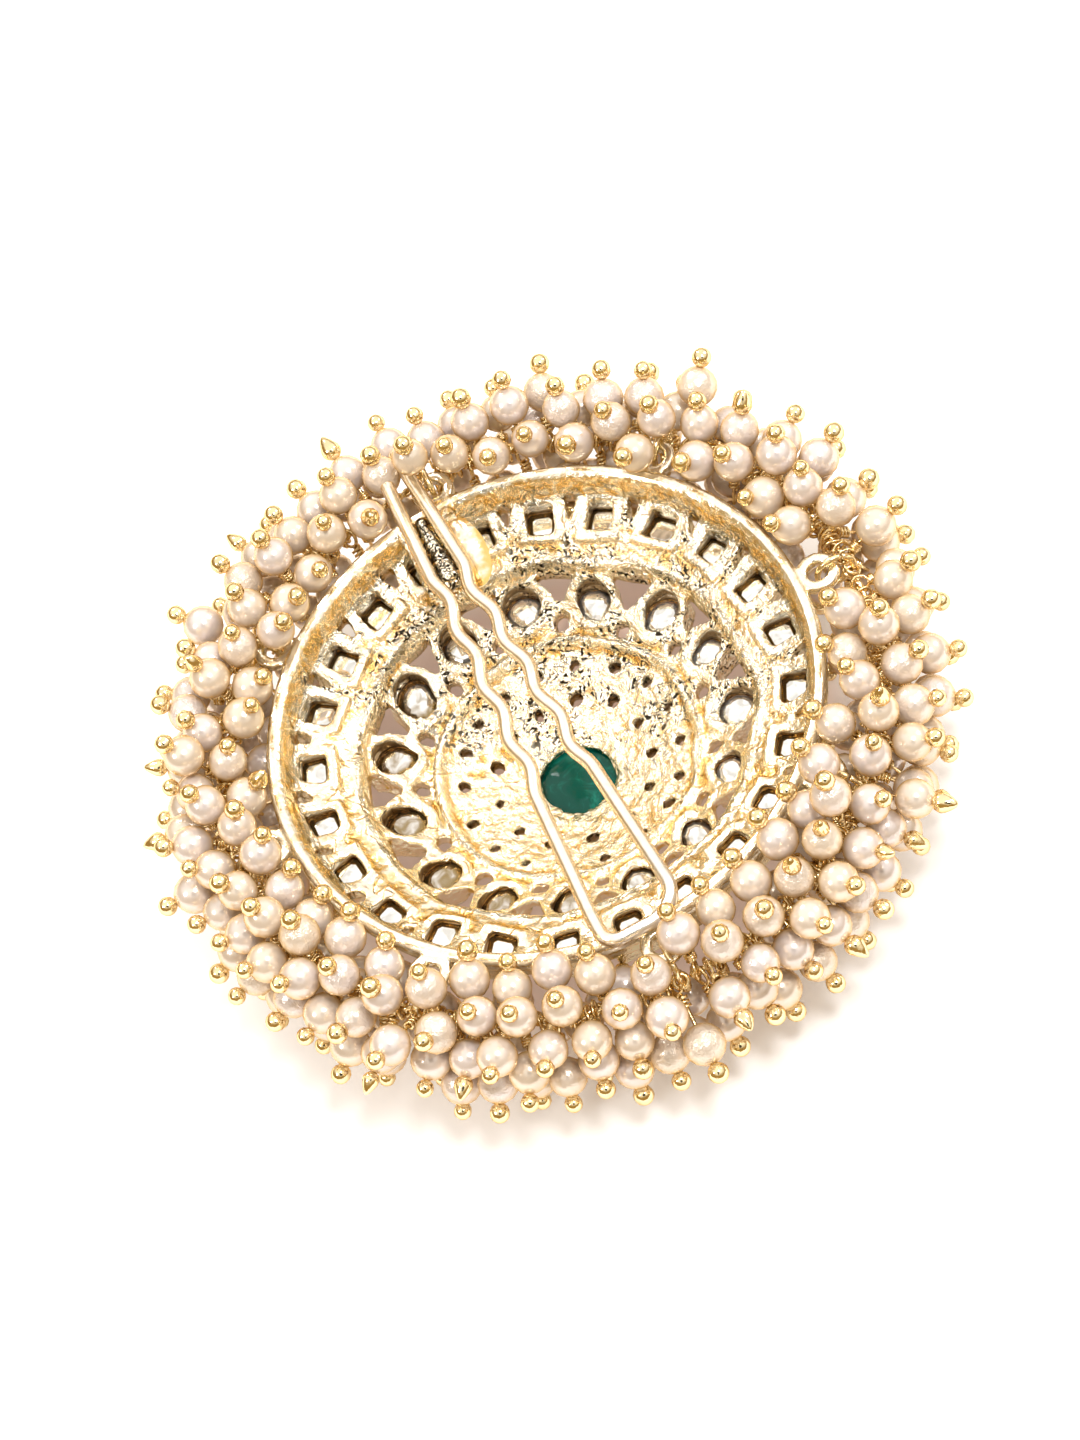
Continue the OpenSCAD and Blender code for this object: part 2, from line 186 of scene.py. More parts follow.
def carried_square(paths, way):
    """A direction square to each tangent, turned as little as possible from one step to the next: the
    last one less its part along the new tangent."""
    now = np.where(np.abs(way[:, 0, 2:3]) < 0.8, [[0, 0, 1.0]], [[1.0, 0, 0]])
    out = np.empty_like(paths)
    for step in range(paths.shape[1]):
        t = way[:, step]
        now = unit(now - t * np.sum(now * t, 1, keepdims=True))
        out[:, step] = now
    return out


def turned_solids(places, ways, profile, columns):
    """Solids of revolution, one at each place, along its way. profile rows are (distance along the
    way, radius), with the axes (solid, row, 2); the first and last rows have radius 0."""
    across = unit(np.cross(ways, np.where(np.abs(ways[:, 2:3]) < 0.9, [[0, 0, 1.0]], [[1.0, 0, 0]])))
    third = np.cross(ways, across)
    a = round_steps(columns)[:, None]
    ring = across[:, None] * np.cos(a) + third[:, None] * np.sin(a)
    points = (
        places[:, None, None]
        + ways[:, None, None] * profile[:, :, None, 0:1]
        + ring[:, None] * profile[:, :, None, 1:2]
    )
    copies, rows = profile.shape[:2]
    return points.reshape(-1, 3), grid_faces(copies, rows, columns)


def globe_profile(count, along, across, rows):
    """Rows of a ball's half circle: distance -cos and radius sin of equal steps from pole to pole. The
    poles are tiny rings."""
    a = np.clip(np.linspace(0, np.pi, rows), 0.02, np.pi - 0.02)
    half = np.stack([-np.cos(a), np.sin(a)], 1)
    scale = np.stack([np.broadcast_to(along, count), np.broadcast_to(across, count)], 1)
    return half[None] * scale[:, None]


def mesh_of(name, points, faces):
    """A mesh from points in millimetres."""
    mesh = bpy.data.meshes.new(name)
    mesh.from_pydata((np.asarray(points) * MM).tolist(), [], np.asarray(faces).tolist())
    return mesh


def placed(name, data):
    """A new object in the scene, at the origin."""
    obj = bpy.data.objects.new(name, data)
    bpy.context.scene.collection.objects.link(obj)
    return obj


@contextlib.contextmanager
def edited(mesh):
    """A mesh opened for edits, which are written back at the end."""
    work = bmesh.new()
    work.from_mesh(mesh)
    yield work
    work.to_mesh(mesh)
    work.free()


def add_marks(mesh, marks):
    """Keeps one number a point for each mark, as an attribute that the finish reads."""
    for mark, values in marks.items():
        mesh.attributes.new(mark, "FLOAT", "POINT").data.foreach_set("value", np.asarray(values, np.float32))


def dressed(obj, finish, smooth=True):
    """Gives an object its finish, and lets it ride on the pin's one body."""
    mesh = obj.data
    mesh.polygons.foreach_set("use_smooth", [smooth] * len(mesh.polygons))
    mesh.materials.clear()
    mesh.materials.append(finish)
    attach(obj, "root")
    return obj


def piece(name, points, faces, slot, finish, smooth=True, **marks):
    """A mesh object from points in millimetres, with its marks. Open ends are closed and the faces made
    to point outwards."""
    mesh = mesh_of(name, points, faces)
    add_marks(mesh, marks)
    obj = placed(name, mesh)
    with edited(mesh) as work:
        bmesh.ops.holes_fill(work, edges=[e for e in work.edges if e.is_boundary])
        bmesh.ops.recalc_face_normals(work, faces=work.faces)
    return dressed(obj, finish, smooth)


# Finishes

# the cast gold, from the plate where it is thin, through painted brown shade in the deep places, on the
# settings' walls and in the drilled holes, to black specks painted in the pits
STRAW, DEEP_SHADE_BROWN, WALL_SHADE_BROWN = (1.0, 0.9, 0.69), (0.36, 0.22, 0.07), (0.3, 0.17, 0.055)
HOLE_SHADE_BROWN, SPECK_SHADE_BLACK = (0.07, 0.035, 0.012), (0.04, 0.03, 0.02)
# the leaf, the hair pin and its bend
LEAF_GOLD, SMEAR, STEEL = (1.0, 0.93, 0.8), (0.95, 0.76, 0.46), (0.78, 0.76, 0.74)
# pearls of one tone and the other, and the golden reflection and shade painted on their edges
ROSE, IVORY, PAINTED_EDGE_SHEEN = (0.75, 0.675, 0.655), (0.78, 0.68, 0.57), (0.82, 0.55, 0.22)
# glass
# painted lighter teal reflections on the green stone
TEAL_REFLECTION_GREEN = (0.005, 0.16, 0.11)
# the foil's mirror and grey, and the olive of a painted dark reflection on the stones' sides
MIRROR, GREY, DARK_REFLECTION_OLIVE = (0.97, 0.95, 0.93), (0.68, 0.65, 0.6), (0.3, 0.2, 0.075)
# the floor, in the open, and with warm light painted on it under the dome
PALE, GOLD_BOUNCE = (0.93, 0.93, 0.93), (0.78, 0.56, 0.42)


class Socket:
    """An output of a shader node. Python's operators on it add Math nodes, so 1 - mask is a socket too."""

    def __init__(self, finish, socket):
        self.finish = finish
        self.socket = socket

    def maths(self, operation, first, second):
        return self.finish.node("ShaderNodeMath", {"operation": operation}, {0: first, 1: second})

    def __add__(self, other):
        return self.maths("ADD", self, other)

    def __sub__(self, other):
        return self.maths("SUBTRACT", self, other)

    def __rsub__(self, other):
        return self.maths("SUBTRACT", other, self)

    def __mul__(self, other):
        return self.maths("MULTIPLY", self, other)

    def __abs__(self):
        return self.maths("ABSOLUTE", self, 0)

    __radd__ = __add__
    __rmul__ = __mul__

    def ramp(self, low, high):
        """0 where this is at low, 1 where it is at high, smooth between."""
        values = {"Value": self, "From Min": low, "From Max": high}
        return self.finish.node("ShaderNodeMapRange", {"interpolation_type": "SMOOTHSTEP"}, values)


class Graph:
    """A node tree. node() adds any node, with its settings first: numbers and colours go on the socket
    itself, and sockets become links."""

    def __init__(self, tree):
        self.tree = tree

    def feed(self, node, values):
        """Sets a node's sockets by name or number."""
        for key, value in values.items():
            if isinstance(value, Socket):
                self.tree.links.new(value.socket, node.inputs[key])
            elif isinstance(node.inputs[key].default_value, float):
                node.inputs[key].default_value = value
            else:
                size = len(node.inputs[key].default_value)
                node.inputs[key].default_value = (tuple(value) + (1.0,))[:size]

    def node(self, kind, settings=None, values=None, out=0):
        node = self.tree.nodes.new(kind)
        for key, value in (settings or {}).items():
            setattr(node, key, value)
        self.feed(node, values or {})
        return Socket(self, node.outputs[out])

    def mix(self, share, first, second):
        """A colour that goes from the first to the second with the share."""
        return self.node("ShaderNodeMix", {"data_type": "RGBA"}, {0: share, 6: first, 7: second}, out=2)


class Finish(Graph):
    """A material with one surface shader, whose sockets are set by name."""

    def __init__(self, name, **surface):
        self.material = bpy.data.materials.new(name)
        self.material.use_nodes = True
        super().__init__(self.material.node_tree)
        self.shader = self.tree.nodes["Principled BSDF"]
        self.surface(**surface)

    def surface(self, **values):
        """Sets the shader's sockets."""
        self.feed(self.shader, {name.replace("_", " "): value for name, value in values.items()})

    def place(self):
        """Object coordinates."""
        return self.node("ShaderNodeTexCoord", out="Object")

    def noise(self, size, detail=2.0, rough=0.5, warp=0.0):
        """Noise with features of about size millimetres, from 0 to 1."""
        return self.node("ShaderNodeTexNoise", values={
            "Vector": self.place(), "Scale": 1 / (size * MM), "Detail": detail, "Roughness": rough,
            "Distortion": warp,
        })

    def mark(self, name):
        """An attribute of the piece's points."""
        return self.node("ShaderNodeAttribute", {"attribute_name": name}, out="Fac")

    def bump(self, height, depth, strength=1.0, under=None):
        """A normal from a height between 0 and 1 that stands for depth millimetres."""
        values = {"Height": height, "Distance": depth * MM, "Strength": strength}
        if under:
            values["Normal"] = under
        return self.node("ShaderNodeBump", values=values)


def cast_finish(sizes):
    """Pale gold plate over a rough casting, with creases where it looks hammered. Each layer of colour is
    mixed over the last: straw where it looks hammered, amber in random patches and as painted shade in the
    recesses and creases, painted brown shade in the deep places, on the walls of the settings and in the
    drilled holes, and painted black specks, which stand for small facets that reflect the dark in the pits,
    and for shade as grit between the prongs on the tab."""
    f = Finish("cast gold", Metallic=1.0, Specular_Tint=(1.0, 0.86, 0.55))
    recess_shade, shaded_walls, hammered = f.mark("recess_shade"), f.mark("shaded_walls"), f.mark("hammered")
    rough = 1 - f.mark("smooth") * 0.85
    patches = f.noise(1.5, 4, 0.62, 1.2)
    fold = 1 - abs(f.noise(2.3, 1, 0.4, 0.8) - 0.5).ramp(0, 0.03)
    crease = hammered * fold * f.noise(2.9, 1).ramp(0.45, 0.6)
    # painted black specks, which stand for small facets that reflect the dark
    pits = f.noise(0.75, 2, 0.5, 2.2).ramp(0.555, 0.58) * f.noise(2.6, 1).ramp(0.42, 0.52)
    # painted shade between the prongs on the tab, as a grit
    grit = f.noise(0.5, 3, 0.65, 1.5).ramp(0.47, 0.52)
    painted_dark = pits * f.mark("pitted") + f.mark("prong_shade") * grit
    gold = sizes.gold
    for share, layer in (
        (hammered * 0.6, STRAW),
        # amber: painted shade in the recesses and creases, and random patches
        ((recess_shade * 0.5 + patches + crease * 0.15).ramp(0.5, 0.85), sizes.recess),
        # painted brown shade in the deep places
        (recess_shade.ramp(0.45, 1.0) * 0.65, DEEP_SHADE_BROWN),
        # painted brown shade on the walls of the settings' openings
        (shaded_walls * 0.85, WALL_SHADE_BROWN),
        # painted dark brown shade in the drilled holes
        (f.mark("painted_dark"), HOLE_SHADE_BROWN),
        # black for the painted specks and for the shade between the prongs
        (painted_dark.ramp(0, 1), SPECK_SHADE_BLACK),
    ):
        gold = f.mix(share, gold, layer)
    relief = f.noise(0.5, 3, 0.6, 0.6) * (rough - hammered * 0.3) - crease * 0.3
    swell = f.bump(f.noise(1.2, 2, 0.5) * rough, 0.5, 0.6)
    f.surface(
        Base_Color=gold,
        Roughness=0.1 + patches * 0.12 + painted_dark * 0.2 + shaded_walls * 0.25,
        Normal=f.bump(relief, 0.34, 1.0, swell),
    )
    return f.material


def leaf_finish(sizes):
    """The same plate, polished, amber in patches and towards its edge."""
    f = Finish("leaf gold", Metallic=1.0, Specular_Tint=(1.0, 0.8, 0.5))
    stain = f.noise(2.6, 3, 0.6)
    leaf_amber = (stain + f.mark("rim") * 0.35).ramp(0.5, 0.8)
    f.surface(
        Base_Color=f.mix(leaf_amber, LEAF_GOLD, sizes.recess),
        Roughness=0.12 + stain * 0.1,
        Normal=f.bump(f.noise(1.6, 2, 0.6), 0.25, 0.6),
    )
    return f.material


def wire_finish(name, tint, rough):
    """Bright gold plate on wire, with faint dulling."""
    f = Finish(name, Metallic=1.0, Specular_Tint=(0.95, 0.66, 0.36))
    dull = f.noise(1.1, 2, 0.5)
    f.surface(
        Base_Color=f.mix(dull.ramp(0.4, 0.8), tint, tuple(0.8 * c for c in tint)),
        Roughness=rough + dull * 0.1,
        Normal=f.bump(f.noise(0.5, 2), 0.07, 0.6),
    )
    return f.material


def pin_finish(sizes):
    """Pale champagne plate, worn to a silvery steel at the bend, with smears and a fine grain."""
    f = Finish("hair pin plate", Metallic=1.0, Specular_Tint=(0.9, 0.58, 0.25))
    worn = f.mark("worn") * f.noise(1.5, 3, 0.6).ramp(0.35, 0.6)
    smears = f.noise(2.2, 3, 0.6)
    tint = f.mix(worn, sizes.plate, STEEL)
    f.surface(
        Base_Color=f.mix(smears.ramp(0.5, 0.75) * 0.45, tint, SMEAR),
        Roughness=0.16 + smears * 0.12 + worn * 0.12,
        Normal=f.bump(f.noise(0.35, 3, 0.6), 0.04, 0.5, f.bump(f.noise(1.8, 1), 0.12, 0.4)),
    )
    return f.material


def pearl_finish(sizes):
    """A satin coat over cream: each pearl has its own tone, and some have a wrinkled coat. The edges, where
    the surface turns away, have a golden reflection and shade painted into the colour."""
    f = Finish(
        "pearl coat", Metallic=0.4, Coat_Roughness=0.08, Coat_Weight=0.5, Coat_IOR=1.5,
        Specular_Tint=(0.9, 0.62, 0.3),
    )
    warm = f.mix(f.mark("tone").ramp(0, 1), ROSE, IVORY)
    tint = f.mix(f.noise(1.4, 2).ramp(0.35, 0.75) * 0.4, warm, sizes.cream)
    turned_away = f.node("ShaderNodeLayerWeight", values={"Blend": 0.35}, out="Facing")
    folds = f.noise(0.8, 3, 0.55, 1.6) * f.mark("wrinkled")
    f.surface(
        Base_Color=f.mix(turned_away.ramp(0.15, 0.75), tint, PAINTED_EDGE_SHEEN),
        Roughness=0.17 + f.noise(1.6, 1) * 0.1,
        Normal=f.bump(folds + f.noise(1.5, 2) * 0.15, 0.25, 0.7),
    )
    return f.material


def green_finish(sizes):
    """Dark green glass, with lighter teal reflections painted on in places."""
    f = Finish("green glass", Roughness=0.06, Specular_IOR_Level=0.15, Coat_Weight=0.25, Coat_Roughness=0.03)
    teal_reflection = f.noise(2.4, 3, 0.6, 1.2).ramp(0.45, 0.8)
    f.surface(
        Base_Color=f.mix(teal_reflection, sizes.green, TEAL_REFLECTION_GREEN),
        Normal=f.bump(f.noise(1.8, 1), 0.15, 0.5),
    )
    return f.material


def clear_finish():
    """Clear cut glass over foil: a bright mirror, grey in places, whose sides have a painted olive-brown
    reflection of dark surroundings.
    """
    f = Finish("clear glass", Roughness=0.05, IOR=1.6, Metallic=0.85, Coat_Weight=0.5, Coat_Roughness=0.02)
    shade = f.noise(1.1, 1, 0.5, 0.8)
    white = f.mix(shade.ramp(0.4, 0.72), MIRROR, GREY)
    brown = (f.mark("brown") + shade * 0.5).ramp(0.5, 1.0)
    f.surface(Base_Color=f.mix(brown, white, DARK_REFLECTION_OLIVE))
    return f.material


def floor_finish():
    """The floor's even, matt finish with the faintest mottling, and lit a little from below. Under the dome a
    warm light is painted on it, as the light there comes off the gold."""
    f = Finish(
        "floor", Roughness=0.9, Specular_IOR_Level=0.1,
        Emission_Color=(1.0, 0.88, 0.82), Emission_Strength=0.18,
    )
    far = f.node("ShaderNodeVectorMath", {"operation": "LENGTH"}, {0: f.place()}, out=1)
    even = f.mix(f.noise(60, 2), PALE, tuple(0.985 * c for c in PALE))
    f.surface(Base_Color=f.mix(far.ramp(22 * MM, 29 * MM), GOLD_BOUNCE, even))
    return f.material


# Casting

def cast_skin(voxel):
    """A copy of the CAD casting as one even skin: its loose triangles are merged, then rebuilt by a
    voxel remesh, whose steps are smoothed away."""
    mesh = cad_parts["casting"].data.copy()
    mesh.materials.clear()
    with edited(mesh) as work:
        bmesh.ops.remove_doubles(work, verts=work.verts, dist=DOUBLES)
    rough = bpy.data.objects.new("rough cast", mesh)
    remesh = rough.modifiers.new("even skin", "REMESH")
    remesh.mode = "VOXEL"
    remesh.voxel_size = voxel * MM
    smooth = rough.modifiers.new("soft steps", "SMOOTH")
    smooth.factor = 0.5
    smooth.iterations = 3
    return applied(rough)


def applied(obj):
    """The mesh that an object's modifiers make. The object is removed."""
    bpy.context.scene.collection.objects.link(obj)
    mesh = bpy.data.meshes.new_from_object(obj.evaluated_get(bpy.context.evaluated_depsgraph_get()))
    bpy.data.objects.remove(obj)
    return mesh


def vectors(items, key):
    """One vector of each item of a mesh, as rows."""
    values = np.empty(len(items) * 3, np.float32)
    items.foreach_get(key, values)
    return values.reshape(-1, 3).astype(float)


def softened(mesh, points, rounds):
    """The places of the points after so many rounds of taking the mean of their neighbours' places."""
    edges = np.empty(len(mesh.edges) * 2, np.int32)
    mesh.edges.foreach_get("vertices", edges)
    a, b = edges.reshape(-1, 2).T
    near = np.bincount(edges, minlength=len(points))
    soft = points
    for _ in range(rounds):
        sums = [np.bincount(a, c[b], len(c)) + np.bincount(b, c[a], len(c)) for c in soft.T]
        soft = np.stack(sums, 1) / near[:, None]
    return soft


def ring_slice(name, skin, inner, outer):
    """The part of a mesh between two radii, cut with a ring of square section or a disc."""
    sides, low, high = 96, -2, 20
    section = np.array([(inner, low), (outer, low), (outer, high), (inner, high)])
    ring = around(section[:, :1], round_steps(sides), section[:, 1:]).reshape(-1, 3)
    tool = mesh_of(name, ring, grid_faces(1, len(section), sides, closed_rows=True))
    with edited(tool) as work:
        bmesh.ops.remove_doubles(work, verts=work.verts, dist=DOUBLES)
        bmesh.ops.dissolve_degenerate(work, edges=work.edges, dist=DOUBLES / 10)
        bmesh.ops.recalc_face_normals(work, faces=work.faces)
    cutter = placed(name + " cutter", tool)
    body = bpy.data.objects.new(name, skin.copy())
    cut = body.modifiers.new("slice", "BOOLEAN")
    cut.operation, cut.solver, cut.object = "INTERSECT", "MANIFOLD", cutter
    mesh = applied(body)
    bpy.data.objects.remove(cutter)
    return mesh


# rings round the axis: radius, count and the angle of the first
SQUARES, DROPS = (22.9, 24, 10.2), (16.6, 15, 9.3)
DOT_RINGS = ((10.8, 18, 4), (7.7, 13, 11))


def nearest_of(points, ring, count, first):
    """The level place of each point as its nearest one of a ring of like things sees it, x outwards."""
    r, a = polar(points)
    share = (a - first) * count / 360
    off = np.radians((share - np.round(share)) * 360 / count)
    return r * np.cos(off) - ring, r * np.sin(off)


def from_dots(points):
    """The level distance of each point from the nearest small drilled hole."""
    return np.minimum(*(np.hypot(*nearest_of(points, *ring)) for ring in DOT_RINGS))


def from_squares(points):
    """The larger of the two level distances of each point from the middle of the nearest square."""
    return np.maximum(*np.abs(nearest_of(points, *SQUARES)))


def setting_walls(points):
    """1 on the walls of the settings' openings, below the back of the dome, where brown shade is painted, and
    0 elsewhere.
    """
    depth = BACK_H - points[:, 2]
    square = rise(from_squares(points), 1.6, 1.5) * rise(depth, 3.7, 3.9)
    x, y = nearest_of(points, *DROPS)
    past = np.minimum(np.hypot(x, y) - 1.75, np.hypot(x + 0.75, y) - 1.3)
    back = np.interp(x + DROPS[0], (13.2, 18.7), (9.2, 6.1))
    drop = rise(past, 0.3, 0.2) * rise(depth - back, 0.25, 0.45)
    return np.maximum(square, drop)


def hand_set(points):
    """Places as uneven as in a mould set by hand: every point drifts level by up to 0.5 mm each way, with
    waves of 5 mm, and keeps its place by the middle stone, the rim and the tab."""
    r, _ = polar(points)
    tab = np.hypot(points[:, 0] + 2, points[:, 1] - 20)
    share = rise(r, 5, 8) * rise(r, RIM_R, RIM_R - 1.5) * rise(tab, 6, 8)
    flat = points * [1, 1, 0]
    return points + 0.5 * np.stack([cloud(flat, 5, 31) * share, cloud(flat, 5, 32) * share, 0 * r], 1)


def cast_zones(points, normals, r, dots):
    """Shares of what the surface is like at each point: melted, where the metal ran smooth on one side,
    hammered, pitted, smooth, on the rim, rough, and on a collar round a drilled hole. All go from 0 to
    1, but the inner disc is rough by 1.5."""
    melted = np.clip(0.3 - points @ [0.45, 0.89, 0] / 16 + 0.3 * cloud(points, 6, 35), 0, 1)
    rim = rise(r, RIM_R, RIM_R + 0.8)
    front = rise(normals[:, 2], 0, -0.4)
    collet = rise(from_squares(points), 2.5, 2.2)
    hammered = rise(melted, 0, 0.5) * (1 - rim) * (1 - front)
    pitted = rise(melted, 0.5, 0)
    melted *= rise(r, DISC_R, DISC_R + 1.5) * (r < 24)
    smooth = np.max([rim, 0.6 * melted, 0.5 * collet, 0.85 * front], axis=0)
    pitted *= (1 - smooth) * (1 - front)
    rough = (1 - 0.8 * rim) * (1 + 0.5 * rise(r, DISC_R + 0.5, DISC_R - 0.5))
    rough *= (1 - 0.65 * collet) * (1 - 0.7 * front)
    collar = rise(np.abs(dots - 0.85), 0.3, 0) * (cloud(points, 3, 34) > 0) * (normals[:, 2] > 0.5)
    return melted, hammered, pitted, smooth, rim, rough, collar


def painted_recess_shade(points, normals, r, in_tab, hollow):
    """Painted shade, from 0 to 1: how deep in a recess each point lies, with painted shade at the foot of the
    rim and the leaf's painted shadow at the end of the tab's leaf."""
    inward = -np.sum(points[:, :2] * normals[:, :2], axis=1) / r
    under_rim = rise(np.abs(r - 25), 0.6, 0) * (inward > 0.3)
    # the leaf's shadow, painted in amber at its end
    leaf_amber = np.clip(1.3 - np.hypot(in_tab[:, 0] - 2.6, in_tab[:, 1] - 24.7) / 1.9, 0, 1)
    return np.maximum(np.clip(hollow, 0, 1), 0.45 * np.maximum(under_rim, leaf_amber))


def in_drilled_holes(points, r, dots):
    """1 in the small drilled holes below the plate of the inner disc, where dark brown shade is painted, and
    0 elsewhere.
    """
    below = BACK_H - points[:, 2] - np.interp(r, (4.4, 12.1), (13.0, 9.9))
    return rise(dots, 0.72, 0.42) * ((r < DISC_R) & (r > 4.5) & (below > 0.25))


def make_casting(sizes):
    """The casting as it came from its mould. Every point moves along its normal by lumps of 1.9, 1 and
    0.5 mm, by pits and by waves of 4 mm, less on the rim, the lugs, the collets of the squares and the
    front, and some drilled holes have raised collars. Where the metal ran smooth, points go part of
    the way to their softened places. The standing leaf of the tab is pressed flat, because a smooth
    one replaces it. The slices overlap by 0.4 mm and share their surface there, so no seam shows."""
    skin = cast_skin(sizes.grain)
    points, normals = vectors(skin.vertices, "co") / MM, vectors(skin.vertex_normals, "vector")
    soft = softened(skin, points, 30)
    hollow = np.sum((soft - points) * normals, axis=1)
    r, _ = polar(points)
    in_tab = in_pin_frame(points)
    x, y, high = in_tab.T
    leaf_foot = BACK_H - 0.1
    leaf = (x > 2.2) & (x < 3.6) & (np.abs(y - 21) < 4.6) & (high > leaf_foot)
    points[leaf, 2] = leaf_foot + 0.05 * (points[leaf, 2] - leaf_foot)
    dots, shaded_walls = from_dots(points), setting_walls(points)
    melted, hammered, pitted, smooth, rim, rough, collar = cast_zones(points, normals, r, dots)
    lumps = cloud(points, 1.9, 11) * 0.6 + cloud(points, 1.0, 12) * 0.8 + cloud(points, 0.5, 14) * 0.5
    pits = np.clip(cloud(points, 0.75, 13) - 0.3, 0, 1) * 2
    move = sizes.lumps * rough * (lumps - pits) + 0.05 + 0.14 * (1 - rim) * cloud(points, 4, 33)
    move += 0.22 * collar
    points = hand_set(points + normals * move[:, None] + (soft - points) * 0.4 * melted[:, None])
    skin.vertices.foreach_set("co", (points * MM).astype(np.float32).ravel())
    add_marks(skin, {
        # marks where shade is painted: in the recesses and under the rim, on the settings' walls, between the
        # prongs and in the drilled holes
        "recess_shade": painted_recess_shade(points, normals, r, in_tab, hollow * 3.5 - move * 1.5),
        "smooth": smooth, "pitted": pitted,
        "prong_shade": (np.abs(x) < 1.1) & (y > 16.6) & (y < 25) & (points[:, 2] > BACK_H - 0.7),
        "painted_dark": in_drilled_holes(points, r, dots), "shaded_walls": shaded_walls, "hammered": hammered,
    })
    finish = cast_finish(sizes)
    for name, inner, outer in (
        ("cast_disc", 0.0, 12.9), ("cast_middle_band", 12.5, 19.3),
        ("cast_outer_band", 18.9, 24.6), ("cast_rim", 24.2, 40),
    ):
        body = dressed(placed(name, ring_slice(name, skin, inner, outer)), finish)
        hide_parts("casting")


def make_leaf(sizes):
    """The smooth leaf of the tab beside the right prong: an oval cushion, whose thickness falls from its
    middle by a power of the distance, tilted up to the right."""
    rows, columns = 12, 40
    half_width, half_length, half_thickness = 2.0, 4.3, 0.42
    t, a = np.linspace(1, 0.02, rows)[:, None], round_steps(columns)[None]
    x, y = half_width * t * np.cos(a), half_length * t * np.sin(a)
    thick = half_thickness * (1 - t ** 4) ** 0.5 + 0 * a
    top = np.stack([x, y, thick], -1)
    under = np.stack([x, y, -thick], -1)[::-1]
    shell = np.concatenate([under, top]).reshape(-1, 3)
    tilt = np.radians(-14)
    shell = np.stack([
        shell[:, 0] * np.cos(tilt) + shell[:, 2] * np.sin(tilt), shell[:, 1],
        shell[:, 2] * np.cos(tilt) - shell[:, 0] * np.sin(tilt),
    ], 1)
    points = from_pin_frame(shell + [2.5, 19.8, BACK_H - 0.4])
    rim = np.broadcast_to(t ** 3, (rows, columns))
    rim = np.concatenate([rim[::-1], rim]).ravel()
    piece("tab_leaf", points, grid_faces(1, 2 * rows, columns), "cast_gold", leaf_finish(sizes), rim=rim)


# Stones

def cut_stones(name, ring, outline, steps, finish, left):
    """A ring of cut stones. The outline is carried through the steps, rows of (scale, depth below the rim,
    painted dark reflection). The farther to the left a stone lies, the more painted dark reflection it has
    besides."""
    radius, count, first = ring
    scale, depth, brown = np.array(steps).T[:, :, None]
    x, y = np.array(outline).T[:, None]
    stone = np.stack([x * scale, y * scale, BACK_H - depth + 0 * x], -1).reshape(-1, 3)
    angles = first + np.arange(count) * 360 / count
    points = np.concatenate([hand_set(turned(stone + [radius, 0, 0], a)) for a in angles])
    faces = grid_faces(count, len(steps), len(outline))
    # stones towards the left get more of the painted dark reflection
    from_left = 0.5 - 0.5 * np.cos(np.radians(angles - 20))
    brown = left * from_left[:, None] + (brown + 0 * x).ravel()
    return piece(name, points, faces, "clear_stone", finish, smooth=False, brown=brown.ravel())


def make_stones(sizes):
    """The square and the drop stones, seen from their foiled backs through the settings, and the glass
    of the middle stone, which keeps its solid."""
    finish = clear_finish()
    # half the width of a square, and of the flat between its cut corners
    h, c = 1.6, 1.1
    square = [(h, -c), (h, c), (c, h), (-c, h), (-h, c), (-h, -c), (-c, -h), (c, -h)]
    steps = [(0.56, 4.5, 0), (0.61, 4.52, 1), (1, 4.85, 1), (1, 5.35, 0.3), (0.62, 6.35, -0.5)]
    squares = cut_stones("cut_squares", SQUARES, square, steps, finish, 0.1)
    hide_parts(*(f"square_stone_{i}" for i in range(1, 25)))
    # a drop is the wider of two circles, of 2.03 mm, and of 1.58 mm with its middle nearer to the axis
    a = round_steps(12)
    r = np.maximum(2.03, np.sqrt(2.5 - 0.75 ** 2 * np.sin(a) ** 2) - 0.75 * np.cos(a))
    drop = around(r, a, 0)[:, :2]
    steps = [(0.5, 8.35, 0), (0.65, 8.48, 0.15), (1, 9.05, 0.5), (1, 9.7, 0.3), (0.6, 10.8, -0.5)]
    drops = cut_stones("cut_drops", DROPS, drop, steps, finish, 0.6)
    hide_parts(*(f"drop_stone_{i}" for i in range(1, 16)))
    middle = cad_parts["middle_stone"]
    middle.data.materials.clear()
    middle.data.materials.append(green_finish(sizes))


# Hair pin

# the pin's turn about the dome's axis, and the place of its middle line
PIN_TURN, PIN_X0, PIN_Z = 1.9, -1.55, BACK_H + 0.8
TIP_Y, BEND_Y = 33.4, -27.1
WAVE_Y0, WAVE_PITCH, WAVE_AMP, WAVES = -9.0, 6.8, 0.36, 4
# half the distance between the prongs at the bend, at the waves' start and end, and at the tips
WIDE_Y = WAVE_Y0 - 14
HALF_GAP = (3.75, 2.95, 1.68, 0.95)
# radii of the bend's left and right corner
CORNERS = (1.7, 3.1)


def in_pin_frame(points):
    """The points in the hair pin's own frame, whose y axis is its middle line."""
    return turned(points, -PIN_TURN) - [PIN_X0, 0, 0]


def from_pin_frame(points):
    """Points of the hair pin's own frame in the frame of the whole."""
    return turned(points + [PIN_X0, 0, 0], PIN_TURN)


def half_gap(y):
    """Half the distance between the prongs: straight between four widths, less a cosine wave."""
    end = WAVE_Y0 + WAVES * WAVE_PITCH
    gap = np.interp(y, [WIDE_Y, WAVE_Y0, end, TIP_Y], HALF_GAP)
    wave = WAVE_AMP * (1 - np.cos(2 * np.pi * (y - WAVE_Y0) / WAVE_PITCH))
    return gap - np.where((y > WAVE_Y0) & (y < end), wave, 0)


